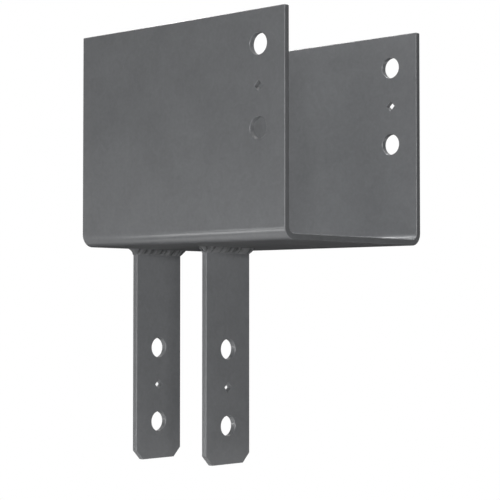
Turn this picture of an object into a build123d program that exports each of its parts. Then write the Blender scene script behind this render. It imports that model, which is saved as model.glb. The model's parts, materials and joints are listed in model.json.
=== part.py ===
"""Welded steel end column cap.

A plate folded into a U carries the end of a beam. Two flat straps welded under it hold the
head of a post. The row frame is +X along the beam towards its far end, +Z up, with the origin
at the middle of the post's seat on the underside of the base plate. Sizes are in millimetres.
"""

import os

from build123d import *

# Plate stock
plate_thickness = 6.07
strap_thickness = 6.07
edge_round = 0.9

# Beam saddle
beam_width = 190.5
saddle_length = 266.7
flange_height = 203.2
bend_radius = 6.35

# Post straps
post_depth = 92.08
strap_width = 63.5
strap_length = 215.9
strap_corner_clip = 9.53

# Bolt holes and the pilot holes between them
beam_bolt_hole = 20.3
beam_bolt_pitch = 76.2
beam_bolt_from_end = 31.75
beam_bolt_from_top = 31.75
post_bolt_hole = 20.3
post_bolt_pitch = 76.2
post_bolt_from_end = 38.1
pilot_hole_side = 6.75
hole_chamfer = 0.5

# Welds
weld_leg = 6.1
weld_crown = 0.3
ripple_pitch = 10.0
valley_width = 4.0
valley_depth = 0.55

# Places worked out from the sizes above
rear_end = -post_depth / 2 - strap_thickness
front_end = rear_end + saddle_length
flange_top = plate_thickness + flange_height
half_beam = beam_width / 2
strap_centre = (post_depth + strap_thickness) / 2


def saddle_section():
    """The folded plate seen along the beam: its inner outline thickened outwards."""
    with BuildSketch(Plane.YZ.offset(rear_end)) as section:
        with BuildLine():
            inner = FilletPolyline(
                (-half_beam, flange_top),
                (-half_beam, plate_thickness),
                (half_beam, plate_thickness),
                (half_beam, flange_top),
                radius=bend_radius,
            )
            offset(inner, amount=plate_thickness, side=Side.RIGHT, closed=True)
        make_face()
    return section.sketch


def punch(plane, hole, pitch, depth):
    """Two round bolt holes one pitch apart along the plane's Y, and the pilot hole between them."""
    with BuildSketch(plane) as outline:
        with GridLocations(0, pitch, 1, 2):
            Circle(hole / 2)
        Rectangle(pilot_hole_side, pilot_hole_side, rotation=45)
    return extrude(outline.sketch, amount=depth, both=True)


def soften_rims(part):
    """Chamfer every edge where a punched hole breaks a flat face of the plate."""
    flat_faces = part.faces().filter_by(GeomType.PLANE)
    rims = [edge for face in flat_faces for wire in face.inner_wires() for edge in wire.edges()]
    return chamfer(rims, hole_chamfer)


def beam_saddle():
    """Base plate and two flanges folded from one plate, with softened edges and punched flanges."""
    blank = extrude(saddle_section(), amount=saddle_length)
    cut_edges = (
        blank.edges().filter_by_position(Axis.X, rear_end, rear_end)
        + blank.edges().filter_by_position(Axis.X, front_end, front_end)
        + blank.edges().filter_by(Axis.X).group_by(Axis.Z)[-1]
    )
    blank = fillet(cut_edges, edge_round)
    holes_x = front_end - beam_bolt_from_end
    holes_z = flange_top - beam_bolt_from_top - beam_bolt_pitch / 2
    plane = Plane(origin=(holes_x, 0, holes_z), x_dir=(1, 0, 0), z_dir=(0, -1, 0))
    saddle = blank - punch(plane, beam_bolt_hole, beam_bolt_pitch, half_beam + 2 * plate_thickness)
    return soften_rims(saddle)


def strap():
    """Flat bar hanging from the underside, clipped at both lower corners. Its top is at Z 0."""
    with BuildSketch(Plane.YZ) as outline:
        with BuildLine():
            half = strap_width / 2
            clip = strap_corner_clip
            Polyline(
                (-half, 0),
                (half, 0),
                (half, clip - strap_length),
                (half - clip, -strap_length),
                (clip - half, -strap_length),
                (-half, clip - strap_length),
                close=True,
            )
        make_face()
    bar = extrude(outline.sketch, amount=strap_thickness / 2, both=True)
    top_edges = bar.edges().group_by(Axis.Z)[-1]
    bar = fillet([edge for edge in bar.edges() if edge not in top_edges], edge_round)
    holes_z = -strap_length + post_bolt_from_end + post_bolt_pitch / 2
    plane = Plane(origin=(0, 0, holes_z), x_dir=(0, 1, 0), z_dir=(1, 0, 0))
    bar = bar - punch(plane, post_bolt_hole, post_bolt_pitch, strap_thickness)
    return soften_rims(bar)


def bead_face():
    """The weld's cut face in the XZ plane: two legs into the corner and a crowned face between its toes."""
    middle = weld_leg / 2 + weld_crown / 2 ** 0.5
    base_toe = (edge_round + weld_leg, 0)
    strap_toe = (edge_round, -weld_leg)
    with BuildSketch(Plane.XZ) as face:
        with BuildLine():
            Polyline(strap_toe, (0, -weld_leg), (0, 0), base_toe)
            ThreePointArc(strap_toe, (edge_round + middle, -middle), base_toe)
        make_face()
    return face.sketch


def valleys(length):
    """Shallow grooves across the weld's crowned face that part one ripple from the next."""
    ripples = round(length / ripple_pitch)
    chord_middle = (edge_round + weld_leg / 2, 0, -weld_leg / 2)
    across_face = Plane(origin=chord_middle, x_dir=(0, -1, 0), z_dir=(1, 0, 1))
    floor = weld_crown - valley_depth
    with BuildSketch(across_face) as grooves:
        with GridLocations(length / ripples, 0, ripples - 1, 1):
            Polygon((0, floor), (valley_width, floor + 2 * valley_depth),
                    (-valley_width, floor + 2 * valley_depth), align=None)
    return extrude(grooves.sketch, amount=weld_leg, both=True)


def weld():
    """Fillet weld round three sides of a strap's top, seated on the strap and the base plate."""
    corner_x = strap_thickness / 2 - edge_round
    corner_y = strap_width / 2 - edge_round
    front_run = extrude(bead_face(), amount=corner_y, both=True) - valleys(2 * corner_y)
    bead = Pos(corner_x, 0, 0) * front_run
    for side in (-1, 1):
        corner = revolve(bead_face(), axis=Axis((0, 0, 0), (0, 0, side)), revolution_arc=90)
        turned_face = Rot(0, 0, side * 90) * bead_face()
        edge_run = extrude(turned_face, dir=(-1, 0, 0), amount=corner_x + strap_thickness / 2)
        bead += Pos(corner_x, side * corner_y, 0) * (corner + edge_run)
    return bead


def main():
    """Build every piece in its place and write one STEP file for each."""
    os.makedirs("parts", exist_ok=True)
    export_step(beam_saddle(), "parts/beam_saddle.step")
    bar = strap()
    bead = weld() - bar
    for name, x in (("rear", -strap_centre), ("front", strap_centre)):
        export_step(Pos(x, 0, 0) * bar, f"parts/{name}_strap.step")
        export_step(Pos(x, 0, 0) * bead, f"parts/{name}_weld.step")


main()
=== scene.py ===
"""Looks of a welded steel column cap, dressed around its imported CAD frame.

The saddle and the two straps are the frame's own nodes, smoothed over their bends and painted.
The two weld beads are laid again with their ripples, and stand for the frame's plain ones.
Everything is in metres, in the frame's own axes: +X along the beam, +Z up.
"""

import json
from itertools import count
from math import cos, pi, radians, sin

import bpy
from bpy.props import FloatProperty, FloatVectorProperty, IntProperty, PointerProperty
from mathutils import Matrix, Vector

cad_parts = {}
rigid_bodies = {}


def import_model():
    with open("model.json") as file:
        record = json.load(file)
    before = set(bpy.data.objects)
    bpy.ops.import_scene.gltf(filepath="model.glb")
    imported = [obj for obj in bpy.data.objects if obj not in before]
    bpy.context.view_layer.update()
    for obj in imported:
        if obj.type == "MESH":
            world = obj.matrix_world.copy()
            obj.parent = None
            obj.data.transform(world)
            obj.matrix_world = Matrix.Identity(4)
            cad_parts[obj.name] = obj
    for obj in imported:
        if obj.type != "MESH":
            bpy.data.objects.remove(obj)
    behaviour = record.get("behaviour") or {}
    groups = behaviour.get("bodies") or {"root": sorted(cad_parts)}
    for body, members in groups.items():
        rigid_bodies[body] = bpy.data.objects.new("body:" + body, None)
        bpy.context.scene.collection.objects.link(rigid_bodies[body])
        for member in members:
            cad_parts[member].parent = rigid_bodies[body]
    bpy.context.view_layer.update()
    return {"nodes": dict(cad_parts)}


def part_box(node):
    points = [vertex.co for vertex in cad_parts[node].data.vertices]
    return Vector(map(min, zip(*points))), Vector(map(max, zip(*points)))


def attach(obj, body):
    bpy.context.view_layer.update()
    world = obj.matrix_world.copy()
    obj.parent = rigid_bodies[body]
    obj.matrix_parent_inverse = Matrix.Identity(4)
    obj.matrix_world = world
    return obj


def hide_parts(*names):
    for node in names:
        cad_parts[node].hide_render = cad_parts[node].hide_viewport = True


bl_info = {
    "name": "Column cap",
    "version": (1, 0, 0),
    "blender": (4, 5, 0),
    "location": "3D View > Sidebar > Column cap",
    "description": "Paints a welded column cap, lays its weld beads and sets up its studio",
    "category": "Object",
}

for startup_object in list(bpy.data.objects):
    bpy.data.objects.remove(startup_object)
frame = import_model()

PLATES = ("beam_saddle", "rear_strap", "front_strap")
WELDED_STRAPS = (("rear_strap", "rear_weld"), ("front_strap", "front_weld"))

# Paint: the film's gloss, and how deep the sheared ends and the underside count on the saddle, for their
# painted shade and the underside's dull film
SPECULAR = 0.3
GLOSS_SPREAD = 0.12
DULL_ROUGHNESS = 0.6
END_DEPTH = 0.00015
UNDERSIDE_DEPTH = 0.0005
JOIN_DISTANCE = 0.000001

# Weld beads: the tree's inputs, the steps along and across, and the shape of the ripples
BEAD_INPUTS = (
    "Back", "Front", "Half Width", "Corner Round", "Leg", "Crown", "Ripple Pitch",
    "Ripple Depth", "Unevenness", "Seed", "Smooth Angle", "Paint",
)
BEAD_STEPS = 260
SECTION_STEPS = 15
TURN_STEPS = 12
RIPPLE_BOW = 0.8
RIPPLE_SLOPE = 0.7
WANDER_REACH = 2.5
SEED_STRIDE = 7.31
LUMP_SCALE = 420.0
LUMP_SHARE = 0.5
VALLEY_SHARPNESS = 1.8
VALLEY_MARK = "valley"


# Settings that a user would change

class PaintSettings(bpy.types.PropertyGroup):
    color: FloatVectorProperty(
        name="Paint", description="Colour of the paint on the plates",
        subtype="COLOR", default=(0.130, 0.133, 0.138), min=0, max=1)
    roughness: FloatProperty(
        name="Roughness", description="Mean roughness of the satin paint",
        subtype="FACTOR", default=0.22, min=0, max=1)
    cloud_size: FloatProperty(
        name="Cloud size", description="Size of the widest clouds in the paint's tone",
        subtype="DISTANCE", unit="LENGTH", default=0.055, min=0.005)
    cloud_strength: FloatProperty(
        name="Cloud strength", description="How far the clouds darken or lighten the paint",
        subtype="FACTOR", default=0.22, min=0, max=1)
    mottle_size: FloatProperty(
        name="Mottle size", description="Size of the patches inside the clouds",
        subtype="DISTANCE", unit="LENGTH", default=0.012, min=0.001)
    mottle_strength: FloatProperty(
        name="Mottle strength", description="How far the patches darken or lighten the paint",
        subtype="FACTOR", default=0.17, min=0, max=1)
    speck_size: FloatProperty(
        name="Speck size", description="Size of the fine specks in the paint",
        subtype="DISTANCE", unit="LENGTH", default=0.003, min=0.0002)
    speck_strength: FloatProperty(
        name="Speck strength", description="How far the specks darken or lighten the paint",
        subtype="FACTOR", default=0.2, min=0, max=1)
    # Painted shade: darkens the saddle's sheared end faces, which get little light
    end_painted_shade: FloatProperty(
        name="End darkness", description="How much darker the paint is on the saddle's sheared ends",
        subtype="FACTOR", default=0.24, min=0, max=1)
    # Painted shade: darkens the saddle's flat underside, where little light reaches
    underside_painted_shade: FloatProperty(
        name="Underside darkness", description="How much darker the paint is on the saddle's underside",
        subtype="FACTOR", default=0.6, min=0, max=1)
    grain_size: FloatProperty(
        name="Grain size", description="Size of the paint's orange peel",
        subtype="DISTANCE", unit="LENGTH", default=0.0012, min=0.0001)
    grain_height: FloatProperty(
        name="Grain height", description="Height of the paint's orange peel",
        subtype="DISTANCE", unit="LENGTH", default=0.00001, min=0)
    smooth_angle: FloatProperty(
        name="Smooth angle", description="Edges flatter than this are shaded smooth",
        subtype="ANGLE", unit="ROTATION", default=radians(24), min=0)


class WeldSettings(bpy.types.PropertyGroup):
    color: FloatVectorProperty(
        name="Paint", description="Colour of the paint over the welds",
        subtype="COLOR", default=(0.124, 0.127, 0.132), min=0, max=1)
    leg: FloatProperty(
        name="Leg", description="Reach of the bead along the plate and down the strap",
        subtype="DISTANCE", unit="LENGTH", default=0.0061, min=0.001)
    crown: FloatProperty(
        name="Crown", description="How far the bead's face bulges from flat",
        subtype="DISTANCE", unit="LENGTH", default=0.0003, min=0)
    ripple_pitch: FloatProperty(
        name="Ripple pitch", description="Distance from one ripple to the next",
        subtype="DISTANCE", unit="LENGTH", default=0.01, min=0.001)
    ripple_depth: FloatProperty(
        name="Ripple depth", description="Depth of the valley between two ripples",
        subtype="DISTANCE", unit="LENGTH", default=0.0015, min=0)
    # Painted shade in the valleys between the ripples
    valley_painted_shade: FloatProperty(
        name="Valley darkness", description="How much darker the paint is in the valleys",
        subtype="FACTOR", default=0.65, min=0, max=1)
    unevenness: FloatProperty(
        name="Unevenness", description="How far the ripples wander from an even pitch",
        subtype="FACTOR", default=0.45, min=0, max=1)
    corner_round: FloatProperty(
        name="Corner round", description="Rounding of the strap's upright edges, which the bead follows",
        subtype="DISTANCE", unit="LENGTH", default=0.0009, min=0)
    seed: IntProperty(
        name="Seed", description="Picks one pattern of uneven ripples", default=4, min=0)


class StudioSettings(bpy.types.PropertyGroup):
    camera_place: FloatVectorProperty(
        name="Camera place", description="Where the camera stands",
        subtype="TRANSLATION", unit="LENGTH", default=(1.12207, -1.15059, -0.05981))
    camera_turn: FloatProperty(
        name="Camera turn", description="How far the view is turned from along +Y towards -X",
        subtype="ANGLE", unit="ROTATION", default=radians(42.129))
    camera_tilt: FloatProperty(
        name="Camera tilt", description="How far the camera looks up from level",
        subtype="ANGLE", unit="ROTATION", default=radians(2.0818))
    lens: FloatProperty(
        name="Lens", description="Focal length in millimetres on a 36 mm sensor",
        default=113.29, min=10)
    floor_height: FloatProperty(
        name="Floor height", description="Height of the floor under the hanging part",
        subtype="DISTANCE", unit="LENGTH", default=-0.9)
    fill: FloatProperty(
        name="Fill light", description="Strength of the even light from all around",
        default=0.03, min=0)
    lamp_scale: FloatProperty(
        name="Lamp scale", description="Scales all the studio lamps together",
        default=1.0, min=0)


# Small helpers

def new_tree_node(tree, kind, place, mode=None, **sockets):
    """Add a node at a grid place, in a mode if it has them, and set the inputs that are named."""
    node = tree.nodes.new(kind)
    node.location = (place[0] * 200, place[1] * 160)
    if mode is not None:
        node.mode = mode
    for name, value in sockets.items():
        node.inputs[name.replace("_", " ")].default_value = value
    return node


def feed(tree, sockets, values):
    """Give each socket its value: another node's output to link, or a plain number or vector."""
    for socket, value in zip(sockets, values):
        if isinstance(value, bpy.types.NodeSocket):
            tree.links.new(value, socket)
        else:
            socket.default_value = value


def math_node(tree, operation, place, *values):
    """Add a Math node; each value is a number or a socket to link."""
    node = new_tree_node(tree, "ShaderNodeMath", place)
    node.operation = operation
    feed(tree, node.inputs, values)
    return node.outputs[0]


def smooth_shading(tree, geometry, angle):
    """Shade all faces smooth, except across edges that are sharper than the angle."""
    all_smooth = new_tree_node(tree, "GeometryNodeSetShadeSmooth", (1, 1))
    feed(tree, (all_smooth.inputs["Geometry"], all_smooth.inputs["Shade Smooth"]), (geometry, True))
    edge_angle = new_tree_node(tree, "GeometryNodeInputMeshEdgeAngle", (0, -1))
    sharp = math_node(tree, "GREATER_THAN", (1, -1), edge_angle.outputs["Unsigned Angle"], angle)
    creases = new_tree_node(tree, "GeometryNodeSetShadeSmooth", (2, 1))
    creases.domain = "EDGE"
    feed(tree, (creases.inputs["Geometry"], creases.inputs["Selection"], creases.inputs["Shade Smooth"]),
         (all_smooth.outputs["Geometry"], sharp, False))
    return creases.outputs["Geometry"]


def link_to_scene(name, data):
    """Make an object of the data and put it in the scene."""
    thing = bpy.data.objects.new(name, data)
    bpy.context.scene.collection.objects.link(thing)
    return thing


# Paint

def saddle_painted_shade(tree, coordinates, low, high, settings):
    """Painted shade: darkens the sheared end faces of the saddle, which lies from low to high, and its
    underside, where the light is dim.
    """
    place = new_tree_node(tree, "ShaderNodeSeparateXYZ", (-6, 4))
    tree.links.new(coordinates, place.inputs[0])
    rear = math_node(tree, "LESS_THAN", (-5, 5), place.outputs["X"], low.x + END_DEPTH)
    front = math_node(tree, "GREATER_THAN", (-5, 4), place.outputs["X"], high.x - END_DEPTH)
    at_end = math_node(tree, "MAXIMUM", (-4, 4), rear, front)
    factor = math_node(tree, "MULTIPLY_ADD", (-3, 4), at_end, -settings.end_painted_shade, 1.0)
    below = on_underside(tree, coordinates, low.z, row=7)
    return math_node(tree, "MULTIPLY_ADD", (-2, 4), below, -settings.underside_painted_shade, factor)


def paint_valley_shade(tree, darkness):
    """Painted shade: darkens the valleys between a bead's ripples, as its mesh marks them."""
    valley = new_tree_node(tree, "ShaderNodeAttribute", (-5, 4))
    valley.attribute_name = VALLEY_MARK
    return math_node(tree, "MULTIPLY_ADD", (-2, 4), valley.outputs["Fac"], -darkness, 1.0)


def on_underside(tree, coordinates, low, row=6):
    """1 on the flat underside of a plate whose lowest point is low, and 0 above it."""
    place = new_tree_node(tree, "ShaderNodeSeparateXYZ", (-5, row))
    tree.links.new(coordinates, place.inputs[0])
    return math_node(tree, "LESS_THAN", (-4, row), place.outputs["Z"], low + UNDERSIDE_DEPTH)


def paint_material(name, color, settings, grain_height, painted_shade_factor=None, dull_place=None):
    """Satin paint: clouds, patches and specks in its tone, uneven gloss and a fine orange peel.

    A painted shade factor is a function that adds nodes which darken the paint with painted shade
    in some places, and a dull place is one whose nodes give 1 where the film is dull.
    """
    material = bpy.data.materials.new(name)
    material.use_nodes = True
    material.diffuse_color = (*color, 1)
    tree = material.node_tree
    shader = tree.nodes["Principled BSDF"]
    shader.inputs["Specular IOR Level"].default_value = SPECULAR
    coordinates = new_tree_node(tree, "ShaderNodeTexCoord", (-7, 0)).outputs["Object"]

    def noise(place, size, **sockets):
        node = new_tree_node(tree, "ShaderNodeTexNoise", place, Scale=1 / size, **sockets)
        tree.links.new(coordinates, node.inputs["Vector"])
        return node.outputs["Fac"]

    clouds = noise((-5, 2), settings.cloud_size, Detail=1.0)
    patches = noise((-5, 1), settings.mottle_size, Detail=1.0, Distortion=1.2)
    specks = noise((-5, 0), settings.speck_size, Detail=2.0, Roughness=0.7)
    strengths = (settings.cloud_strength, settings.mottle_strength, settings.speck_strength)
    tone = 1 - sum(strengths) / 2
    for column, (field, strength) in enumerate(zip((clouds, patches, specks), strengths)):
        tone = math_node(tree, "MULTIPLY_ADD", (column - 4, 2), field, strength, tone)
    # Painted shade: the factor darkens the tone where the light is dim
    if painted_shade_factor:
        tone = math_node(tree, "MULTIPLY", (-1, 4), tone, painted_shade_factor(tree, coordinates))
    shade = new_tree_node(tree, "ShaderNodeVectorMath", (-1, 2))
    shade.operation = "SCALE"
    feed(tree, (shade.inputs[0], shade.inputs["Scale"]), (color, tone))
    tree.links.new(shade.outputs["Vector"], shader.inputs["Base Color"])
    gloss = math_node(tree, "MULTIPLY_ADD", (-2, 1), patches, GLOSS_SPREAD,
                      settings.roughness - GLOSS_SPREAD / 2)
    if dull_place:
        dullness = math_node(tree, "MULTIPLY", (-2, 0), dull_place(tree, coordinates), DULL_ROUGHNESS)
        gloss = math_node(tree, "MAXIMUM", (-1, 1), gloss, dullness)
    tree.links.new(gloss, shader.inputs["Roughness"])
    peel = noise((-5, -1), settings.grain_size, Detail=2.0)
    bump = new_tree_node(tree, "ShaderNodeBump", (-2, -1), Strength=1.0, Distance=grain_height)
    tree.links.new(peel, bump.inputs["Height"])
    tree.links.new(bump.outputs["Normal"], shader.inputs["Normal"])
    return material


def smooth_bends_tree():
    """Joins a node's loose triangles and shades smooth wherever two faces meet at a flat angle."""
    tree = bpy.data.node_groups.new("smooth_bends", "GeometryNodeTree")
    tree.interface.new_socket("Geometry", in_out="INPUT", socket_type="NodeSocketGeometry")
    angle = tree.interface.new_socket("Smooth Angle", in_out="INPUT", socket_type="NodeSocketFloat")
    tree.interface.new_socket("Geometry", in_out="OUTPUT", socket_type="NodeSocketGeometry")
    given = new_tree_node(tree, "NodeGroupInput", (-3, 0)).outputs
    made = new_tree_node(tree, "NodeGroupOutput", (4, 0))
    join = new_tree_node(tree, "GeometryNodeMergeByDistance", (-2, 0), Distance=JOIN_DISTANCE)
    plain = new_tree_node(tree, "GeometryNodeRemoveAttribute", (-1, 0), Name="custom_normal")
    tree.links.new(given["Geometry"], join.inputs["Geometry"])
    tree.links.new(join.outputs["Geometry"], plain.inputs["Geometry"])
    smooth = smooth_shading(tree, plain.outputs["Geometry"], given["Smooth Angle"])
    tree.links.new(smooth, made.inputs["Geometry"])
    return tree, angle.identifier


class COLUMNCAP_OT_paint_plates(bpy.types.Operator):
    """Paint the saddle and the straps, and shade their bends smooth"""
    bl_idname = "column_cap.paint_plates"
    bl_label = "Paint plates"

    def execute(self, context):
        settings = context.scene.column_cap_paint
        look = (settings.color, settings, settings.grain_height)
        low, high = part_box("beam_saddle")
        strap_paint = paint_material("grey_paint_satin", *look)
        # The saddle's paint carries painted shade on its sheared ends and its underside
        saddle_paint = paint_material(
            "grey_paint_painted_shade", *look,
            lambda nodes, place: saddle_painted_shade(nodes, place, low, high, settings),
            lambda nodes, place: on_underside(nodes, place, low.z))
        tree, angle_input = smooth_bends_tree()
        for name in PLATES:
            plate = frame["nodes"][name]
            plate.material_slots[0].material = saddle_paint if name == "beam_saddle" else strap_paint
            smoothing = plate.modifiers.new("smooth_bends", "NODES")
            smoothing.node_group = tree
            smoothing[angle_input] = settings.smooth_angle
        return {"FINISHED"}


# Welds

def weld_bead_tree():
    """Sweeps the bead's section round three sides of a strap's head and raises ripples along it."""
    tree = bpy.data.node_groups.new("weld_bead", "GeometryNodeTree")
    inputs = {}
    for name in BEAD_INPUTS:
        kind = "NodeSocketMaterial" if name == "Paint" else "NodeSocketFloat"
        inputs[name] = tree.interface.new_socket(name, in_out="INPUT", socket_type=kind).identifier
    tree.interface.new_socket("Geometry", in_out="OUTPUT", socket_type="NodeSocketGeometry")
    given = new_tree_node(tree, "NodeGroupInput", (-16, 0)).outputs
    made = new_tree_node(tree, "NodeGroupOutput", (6, 0))

    cells = count()

    def next_place():
        """The next free place in the rows of small nodes under the main ones."""
        cell = next(cells)
        return cell % 20 - 15, -10 - cell // 20

    def calc(operation, *values):
        return math_node(tree, operation, next_place(), *values)

    def vector(x=0.0, y=0.0, z=0.0):
        node = new_tree_node(tree, "ShaderNodeCombineXYZ", next_place())
        feed(tree, node.inputs, (x, y, z))
        return node.outputs[0]

    def along(direction, amount):
        node = new_tree_node(tree, "ShaderNodeVectorMath", next_place())
        node.operation = "SCALE"
        feed(tree, (node.inputs[0], node.inputs["Scale"]), (direction, amount))
        return node.outputs[0]

    def add(*vectors):
        total = vectors[0]
        for other in vectors[1:]:
            node = new_tree_node(tree, "ShaderNodeVectorMath", next_place())
            node.operation = "ADD"
            feed(tree, node.inputs, (total, other))
            total = node.outputs[0]
        return total

    def keep(geometry, place, **fields):
        """Store fields on the curve's points; hands back the curve and the stored fields."""
        node = new_tree_node(tree, "GeometryNodeCaptureAttribute", place)
        for name, field in fields.items():
            node.capture_items.new("VECTOR" if field.type == "VECTOR" else "FLOAT", name)
            tree.links.new(field, node.inputs[name])
        tree.links.new(geometry, node.inputs["Geometry"])
        return node.outputs["Geometry"], [node.outputs[name] for name in fields]

    def row_of_points(number, row, position):
        points = new_tree_node(tree, "GeometryNodePoints", (-8, row), Count=number)
        tree.links.new(position, points.inputs["Position"])
        curve = new_tree_node(tree, "GeometryNodePointsToCurves", (-7, row))
        tree.links.new(points.outputs[0], curve.inputs["Points"])
        return curve.outputs[0]

    index = new_tree_node(tree, "GeometryNodeInputIndex", (-12, -3)).outputs[0]

    # Route along the middle of the bead: back, front, front and back corner of the strap's head
    half_leg = calc("MULTIPLY", given["Leg"], 0.5)
    front = calc("ADD", given["Front"], half_leg)
    half_width = calc("ADD", given["Half Width"], half_leg)
    # Points 1 and 2 of the four are at the front, and 2 and 3 on the high side
    at_front = calc("COMPARE", index, 1.5, 0.6)
    on_high_side = calc("GREATER_THAN", index, 1.5)
    route_x = calc("MULTIPLY_ADD", at_front, calc("SUBTRACT", front, given["Back"]), given["Back"])
    route_y = calc("MULTIPLY", half_width, calc("MULTIPLY_ADD", on_high_side, 2.0, -1.0))
    route = row_of_points(4, 1, vector(route_x, route_y))
    turns = new_tree_node(tree, "GeometryNodeFilletCurve", (-6, 1), mode="POLY", Count=TURN_STEPS)
    tree.links.new(route, turns.inputs["Curve"])
    tree.links.new(calc("ADD", given["Corner Round"], half_leg), turns.inputs["Radius"])
    steps = new_tree_node(tree, "GeometryNodeResampleCurve", (-5, 1), mode="COUNT", Count=BEAD_STEPS)
    tree.links.new(turns.outputs["Curve"], steps.inputs["Curve"])
    tangent = new_tree_node(tree, "GeometryNodeInputTangent", (-6, -1)).outputs[0]
    outward = new_tree_node(tree, "ShaderNodeVectorMath", (-5, -1))
    outward.operation = "CROSS_PRODUCT"
    feed(tree, outward.inputs, (tangent, (0, 0, 1)))
    place = new_tree_node(tree, "GeometryNodeInputPosition", (-6, -2)).outputs[0]
    run = new_tree_node(tree, "GeometryNodeSplineParameter", (-6, -3)).outputs["Length"]
    route, (middle, out, run) = keep(
        steps.outputs["Curve"], (-4, 1), middle=place, out=outward.outputs[0], run=run)

    # Section: the face from the plate's toe to the strap's toe, then the corner behind it
    share = calc("DIVIDE", index, SECTION_STEPS - 1.0)
    is_face = calc("LESS_THAN", index, SECTION_STEPS - 0.5)
    bulge = calc("MULTIPLY", calc("SINE", calc("MULTIPLY", share, pi)), is_face)
    reach = calc("MULTIPLY", calc("MULTIPLY", calc("SUBTRACT", 1.0, share), given["Leg"]), is_face)
    drop = calc("MULTIPLY", calc("MULTIPLY", share, given["Leg"]), is_face)
    section = row_of_points(SECTION_STEPS + 1, 3, vector(reach, drop))
    closed = new_tree_node(tree, "GeometryNodeSetSplineCyclic", (-6, 3), Cyclic=True)
    tree.links.new(section, closed.inputs["Geometry"])
    section, (reach, drop, share, bulge) = keep(
        closed.outputs["Geometry"], (-4, 3), reach=reach, drop=drop, share=share, bulge=bulge)

    swept = new_tree_node(tree, "GeometryNodeCurveToMesh", (-3, 1))
    swept.inputs["Fill Caps"].default_value = True
    tree.links.new(route, swept.inputs["Curve"])
    tree.links.new(section, swept.inputs["Profile Curve"])

    # Ripples: uneven steps along the run, each one a crest that falls into a narrow valley
    wander = new_tree_node(tree, "ShaderNodeTexNoise", (-6, -6), Scale=1.0, Detail=1.0)
    wander.noise_dimensions = "1D"
    beat = calc("DIVIDE", run, given["Ripple Pitch"])
    tree.links.new(calc("MULTIPLY_ADD", given["Seed"], SEED_STRIDE, beat), wander.inputs["W"])
    uneven = calc("MULTIPLY", calc("SUBTRACT", wander.outputs["Fac"], 0.5), given["Unevenness"])
    bow = calc("MULTIPLY", calc("POWER", calc("SUBTRACT", share, 0.5), 2.0), RIPPLE_BOW)
    phase = calc("FRACT", calc("ADD", calc("ADD", beat, bow), calc("MULTIPLY", uneven, WANDER_REACH)))
    edge = calc("ABSOLUTE", calc("MULTIPLY_ADD", phase, 2.0, -1.0))
    valley = calc("POWER", edge, VALLEY_SHARPNESS)
    slope = calc("MULTIPLY", calc("SUBTRACT", phase, 0.5), RIPPLE_SLOPE)
    lumps = new_tree_node(tree, "ShaderNodeTexNoise", (-6, -8), Scale=LUMP_SCALE, Detail=2.0)
    tree.links.new(add(middle, vector(reach, drop)), lumps.inputs["Vector"])
    lumpy = calc("MULTIPLY", calc("SUBTRACT", lumps.outputs["Fac"], 0.5), LUMP_SHARE)
    ripple = calc("MULTIPLY", calc("ADD", calc("SUBTRACT", slope, valley), lumpy), given["Ripple Depth"])
    lift = calc("MULTIPLY", calc("ADD", given["Crown"], ripple), bulge)
    # The face leans at 45 degrees, so a lift moves it outward and down by the same amount
    slant = calc("MULTIPLY", lift, 0.5 ** 0.5)
    shaped = new_tree_node(tree, "GeometryNodeSetPosition", (0, 1))
    tree.links.new(swept.outputs["Mesh"], shaped.inputs["Geometry"])
    from_middle = calc("ADD", calc("SUBTRACT", reach, half_leg), slant)
    below = vector(0.0, 0.0, calc("MULTIPLY", calc("ADD", drop, slant), -1.0))
    tree.links.new(add(middle, along(out, from_middle), below), shaped.inputs["Position"])

    # The valley mark tells the bead's paint where its painted shade goes
    marked = new_tree_node(tree, "GeometryNodeStoreNamedAttribute", (0, 3), Name=VALLEY_MARK)
    marked.data_type = "FLOAT"
    feed(tree, (marked.inputs["Geometry"], marked.inputs["Value"]),
         (shaped.outputs["Geometry"], calc("MULTIPLY", valley, bulge)))

    finished = smooth_shading(tree, marked.outputs["Geometry"], given["Smooth Angle"])
    whole = new_tree_node(tree, "GeometryNodeRealizeInstances", (4, 0))
    tree.links.new(finished, whole.inputs["Geometry"])
    painted = new_tree_node(tree, "GeometryNodeSetMaterial", (5, 0))
    tree.links.new(whole.outputs["Geometry"], painted.inputs["Geometry"])
    tree.links.new(given["Paint"], painted.inputs["Material"])
    tree.links.new(painted.outputs["Geometry"], made.inputs["Geometry"])
    return tree, inputs


class COLUMNCAP_OT_lay_welds(bpy.types.Operator):
    """Lay the rippled weld bead round the head of each strap"""
    bl_idname = "column_cap.lay_welds"
    bl_label = "Lay welds"

    def execute(self, context):
        weld, paint = context.scene.column_cap_weld, context.scene.column_cap_paint
        # The weld paint carries painted shade in the ripples' valleys
        material = paint_material(
            "weld_paint_satin", weld.color, paint, 2 * paint.grain_height,
            lambda nodes, place: paint_valley_shade(nodes, weld.valley_painted_shade))
        tree, inputs = weld_bead_tree()
        for number, (strap, plain_weld) in enumerate(WELDED_STRAPS):
            low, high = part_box(strap)
            values = {
                "Back": low.x, "Front": high.x, "Half Width": high.y,
                "Corner Round": weld.corner_round, "Leg": weld.leg, "Crown": weld.crown,
                "Ripple Pitch": weld.ripple_pitch, "Ripple Depth": weld.ripple_depth,
                "Unevenness": weld.unevenness, "Seed": float(weld.seed + number),
                "Smooth Angle": paint.smooth_angle, "Paint": material,
            }
            maker = link_to_scene("bead_maker", bpy.data.meshes.new("bead_maker"))
            laying = maker.modifiers.new("weld_bead", "NODES")
            laying.node_group = tree
            for name, value in values.items():
                laying[inputs[name]] = value
            graph = context.evaluated_depsgraph_get()
            mesh = bpy.data.meshes.new_from_object(maker.evaluated_get(graph))
            maker.modifiers.remove(laying)
            bpy.data.objects.remove(maker)
            bead = link_to_scene(plain_weld + "_bead", mesh)
            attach(bead, "root")
            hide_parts(plain_weld)
        return {"FINISHED"}


# Studio

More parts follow.
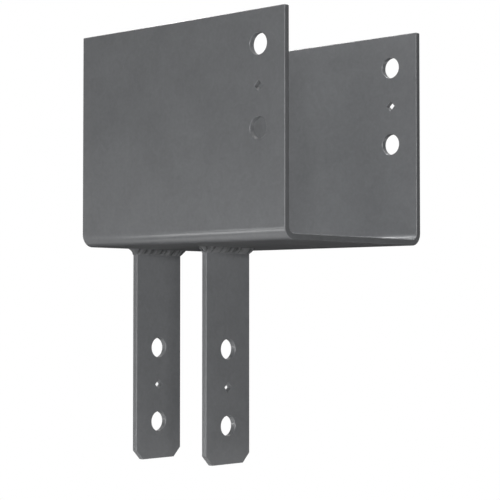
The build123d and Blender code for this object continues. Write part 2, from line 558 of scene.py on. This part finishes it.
LAMPS = (
    # name, place, width, height, watts, spread in degrees, what it acts on: colour, gloss or both
    ("key_far", (3.10, -3.33, 0.17), 1.4, 0.3, 132.0, 180, "colour"),
    ("key_right", (3.90, -2.39, 0.17), 1.4, 0.3, 50.0, 180, "colour"),
    ("key_sheen", (3.10, -3.33, 0.20), 3.4, 2.6, 200.0, 180, "gloss"),
    ("front_low", (0.64, -0.67, -0.67), 0.5, 0.4, 1.3, 180, "both"),
    ("bend_strip", (-0.70, -1.40, -0.33), 0.6, 0.08, 1.9, 180, "both"),
    ("bend_soft", (-0.58, -0.85, -0.50), 0.5, 0.2, 2.4, 180, "both"),
    ("bend_under", (-0.50, -0.34, -0.74), 0.5, 0.25, 0.34, 180, "both"),
    ("top_soft", (-0.02, -0.05, 1.50), 0.2, 0.2, 3.1, 50, "colour"),
    ("top_bend", (-0.62, -0.12, 0.95), 0.45, 0.12, 7.8, 180, "gloss"),
    ("inside_rear", (-0.25, -0.04, 0.12), 0.1, 0.1, 0.28, 180, "colour"),
    ("back_soft", (-1.5, 2.4, 1.2), 1.0, 1.0, 9.0, 60, "colour"),
)
LAMP_AIM = (0.08, 0.0, 0.0)
CARDS = (
    # name, direction, distance, width, lowest and highest point, brightness
    ("card_behind", (-0.67, 0.74), 0.75, 2.4, -0.89, -0.002, 0.0),
    ("card_right", (0.67, 0.74), 1.2, 1.4, -0.33, 0.6, 0.0),
    ("card_high", (-0.67, -0.74), 2.5, 3.0, 0.25, 2.2, 0.3),
)
CARD_COLOR = (0.02, 0.02, 0.02, 1)
FLOOR_COLOR = (0.3, 0.3, 0.3, 1)
FLOOR_RADIUS = 4.5
FLOOR_SIDES = 96
FLOOR_BRIGHTNESS = 0.8
FLOOR_FADE_START = 1.2
FLOOR_FADE_END = 4.2


def facing(direction):
    """The turn of a lamp or a camera that looks along the direction."""
    return direction.to_track_quat("-Z", "Y").to_euler()


def background_rays(tree):
    """1 for rays from the camera, a reflection or a clear surface, and 0 for the rest."""
    rays = new_tree_node(tree, "ShaderNodeLightPath", (-4, 0)).outputs
    seen = math_node(tree, "MAXIMUM", (-3, 0), rays["Is Camera Ray"], rays["Is Glossy Ray"])
    return math_node(tree, "MAXIMUM", (-2, 0), seen, rays["Is Transmission Ray"])


def studio_world(fill):
    """White where the camera, a reflection or a clear surface looks, and an even fill elsewhere."""
    world = bpy.data.worlds.new("studio")
    world.use_nodes = True
    tree = world.node_tree
    background = tree.nodes["Background"]
    background.inputs["Color"].default_value = (1, 1, 1, 1)
    strength = new_tree_node(tree, "ShaderNodeMapRange", (-1, 0), To_Min=fill, To_Max=1)
    tree.links.new(background_rays(tree), strength.inputs["Value"])
    tree.links.new(strength.outputs["Result"], background.inputs["Strength"])
    bpy.context.scene.world = world


def floor_material():
    """Pale matt floor that keeps the object's soft shadow and turns white towards its rim."""
    material = bpy.data.materials.new("studio_floor")
    material.use_nodes = True
    tree = material.node_tree
    shader = tree.nodes["Principled BSDF"]
    shader.inputs["Base Color"].default_value = FLOOR_COLOR
    shader.inputs["Roughness"].default_value = 0.9
    shader.inputs["Specular IOR Level"].default_value = 0.1
    shader.inputs["Emission Color"].default_value = (1, 1, 1, 1)
    coordinates = new_tree_node(tree, "ShaderNodeTexCoord", (-5, -2)).outputs["Object"]
    reach = new_tree_node(tree, "ShaderNodeVectorMath", (-4, -2))
    reach.operation = "LENGTH"
    tree.links.new(coordinates, reach.inputs[0])
    brightness = new_tree_node(
        tree, "ShaderNodeMapRange", (-3, -2), From_Min=FLOOR_FADE_START, From_Max=FLOOR_FADE_END,
        To_Min=FLOOR_BRIGHTNESS, To_Max=1)
    brightness.interpolation_type = "SMOOTHSTEP"
    tree.links.new(reach.outputs["Value"], brightness.inputs["Value"])
    glow = math_node(tree, "MULTIPLY", (-1, 0), background_rays(tree), brightness.outputs["Result"])
    tree.links.new(glow, shader.inputs["Emission Strength"])
    return material


def stage_floor(height):
    """Round floor under the object."""
    turns = [2 * pi * side / FLOOR_SIDES for side in range(FLOOR_SIDES)]
    rim = [(FLOOR_RADIUS * cos(turn), FLOOR_RADIUS * sin(turn), height) for turn in turns]
    mesh = bpy.data.meshes.new("floor")
    mesh.from_pydata(rim, [], [range(FLOOR_SIDES)])
    mesh.materials.append(floor_material())
    link_to_scene("floor", mesh)


def stage_card(name, direction, distance, width, low, high, brightness):
    """Upright card, black or dim, that only the object's reflections see."""
    material = bpy.data.materials.new(name)
    material.use_nodes = True
    shader = material.node_tree.nodes["Principled BSDF"]
    shader.inputs["Base Color"].default_value = CARD_COLOR
    shader.inputs["Specular IOR Level"].default_value = 0.0
    shader.inputs["Emission Color"].default_value = (1, 1, 1, 1)
    shader.inputs["Emission Strength"].default_value = brightness
    middle = Vector((*direction, 0)).normalized() * distance
    side = Vector((-middle.y, middle.x, 0)).normalized() * width / 2
    left, right = (middle - side).xy, (middle + side).xy
    corners = [(*left, low), (*right, low), (*right, high), (*left, high)]
    mesh = bpy.data.meshes.new(name)
    mesh.from_pydata(corners, [], [(0, 1, 2, 3)])
    mesh.materials.append(material)
    card = link_to_scene(name, mesh)
    card.visible_camera = card.visible_diffuse = card.visible_transmission = False
    card.visible_volume_scatter = card.visible_shadow = False


class COLUMNCAP_OT_set_studio(bpy.types.Operator):
    """Set the floor, the lamps, the surroundings and the camera"""
    bl_idname = "column_cap.set_studio"
    bl_label = "Set studio"

    def execute(self, context):
        settings = context.scene.column_cap_studio
        stage_floor(settings.floor_height)
        for card in CARDS:
            stage_card(*card)
        studio_world(settings.fill)
        for name, place, width, height, watts, spread, part in LAMPS:
            lamp = bpy.data.lights.new(name, "AREA")
            lamp.shape = "RECTANGLE"
            lamp.size = width
            lamp.size_y = height
            lamp.energy = watts * settings.lamp_scale
            lamp.spread = radians(spread)
            lamp_object = link_to_scene(name, lamp)
            lamp_object.visible_camera = False
            lamp_object.visible_diffuse = part != "gloss"
            lamp_object.visible_glossy = part != "colour"
            lamp_object.location = place
            lamp_object.rotation_euler = facing(Vector(LAMP_AIM) - Vector(place))
        camera = bpy.data.cameras.new("camera")
        camera.sensor_width = 36
        camera.lens = settings.lens
        camera.clip_start = 0.01
        camera_object = link_to_scene("camera", camera)
        turn, tilt = settings.camera_turn, settings.camera_tilt
        forward = Vector((-sin(turn) * cos(tilt), cos(turn) * cos(tilt), sin(tilt)))
        camera_object.location = settings.camera_place
        camera_object.rotation_euler = facing(forward)
        context.scene.camera = camera_object
        context.scene.view_settings.view_transform = "Standard"
        return {"FINISHED"}


class COLUMNCAP_PT_sidebar(bpy.types.Panel):
    """Settings of the column cap, with the operator that each group belongs to"""
    bl_label = "Column cap"
    bl_idname = "COLUMNCAP_PT_sidebar"
    bl_space_type = "VIEW_3D"
    bl_region_type = "UI"
    bl_category = "Column cap"

    def draw(self, context):
        for settings, operator in (
            (context.scene.column_cap_paint, COLUMNCAP_OT_paint_plates),
            (context.scene.column_cap_weld, COLUMNCAP_OT_lay_welds),
            (context.scene.column_cap_studio, COLUMNCAP_OT_set_studio),
        ):
            column = self.layout.column(align=True)
            for name in settings.bl_rna.properties.keys():
                if name not in ("rna_type", "name"):
                    column.prop(settings, name)
            column.operator(operator.bl_idname)


CLASSES = (
    PaintSettings,
    WeldSettings,
    StudioSettings,
    COLUMNCAP_OT_paint_plates,
    COLUMNCAP_OT_lay_welds,
    COLUMNCAP_OT_set_studio,
    COLUMNCAP_PT_sidebar,
)


def register():
    for made in CLASSES:
        bpy.utils.register_class(made)
    bpy.types.Scene.column_cap_paint = PointerProperty(type=PaintSettings)
    bpy.types.Scene.column_cap_weld = PointerProperty(type=WeldSettings)
    bpy.types.Scene.column_cap_studio = PointerProperty(type=StudioSettings)


def unregister():
    del bpy.types.Scene.column_cap_studio
    del bpy.types.Scene.column_cap_weld
    del bpy.types.Scene.column_cap_paint
    for made in reversed(CLASSES):
        bpy.utils.unregister_class(made)


def main():
    register()
    bpy.ops.column_cap.paint_plates()
    bpy.ops.column_cap.lay_welds()
    bpy.ops.column_cap.set_studio()


if __name__ == "__main__":
    main()
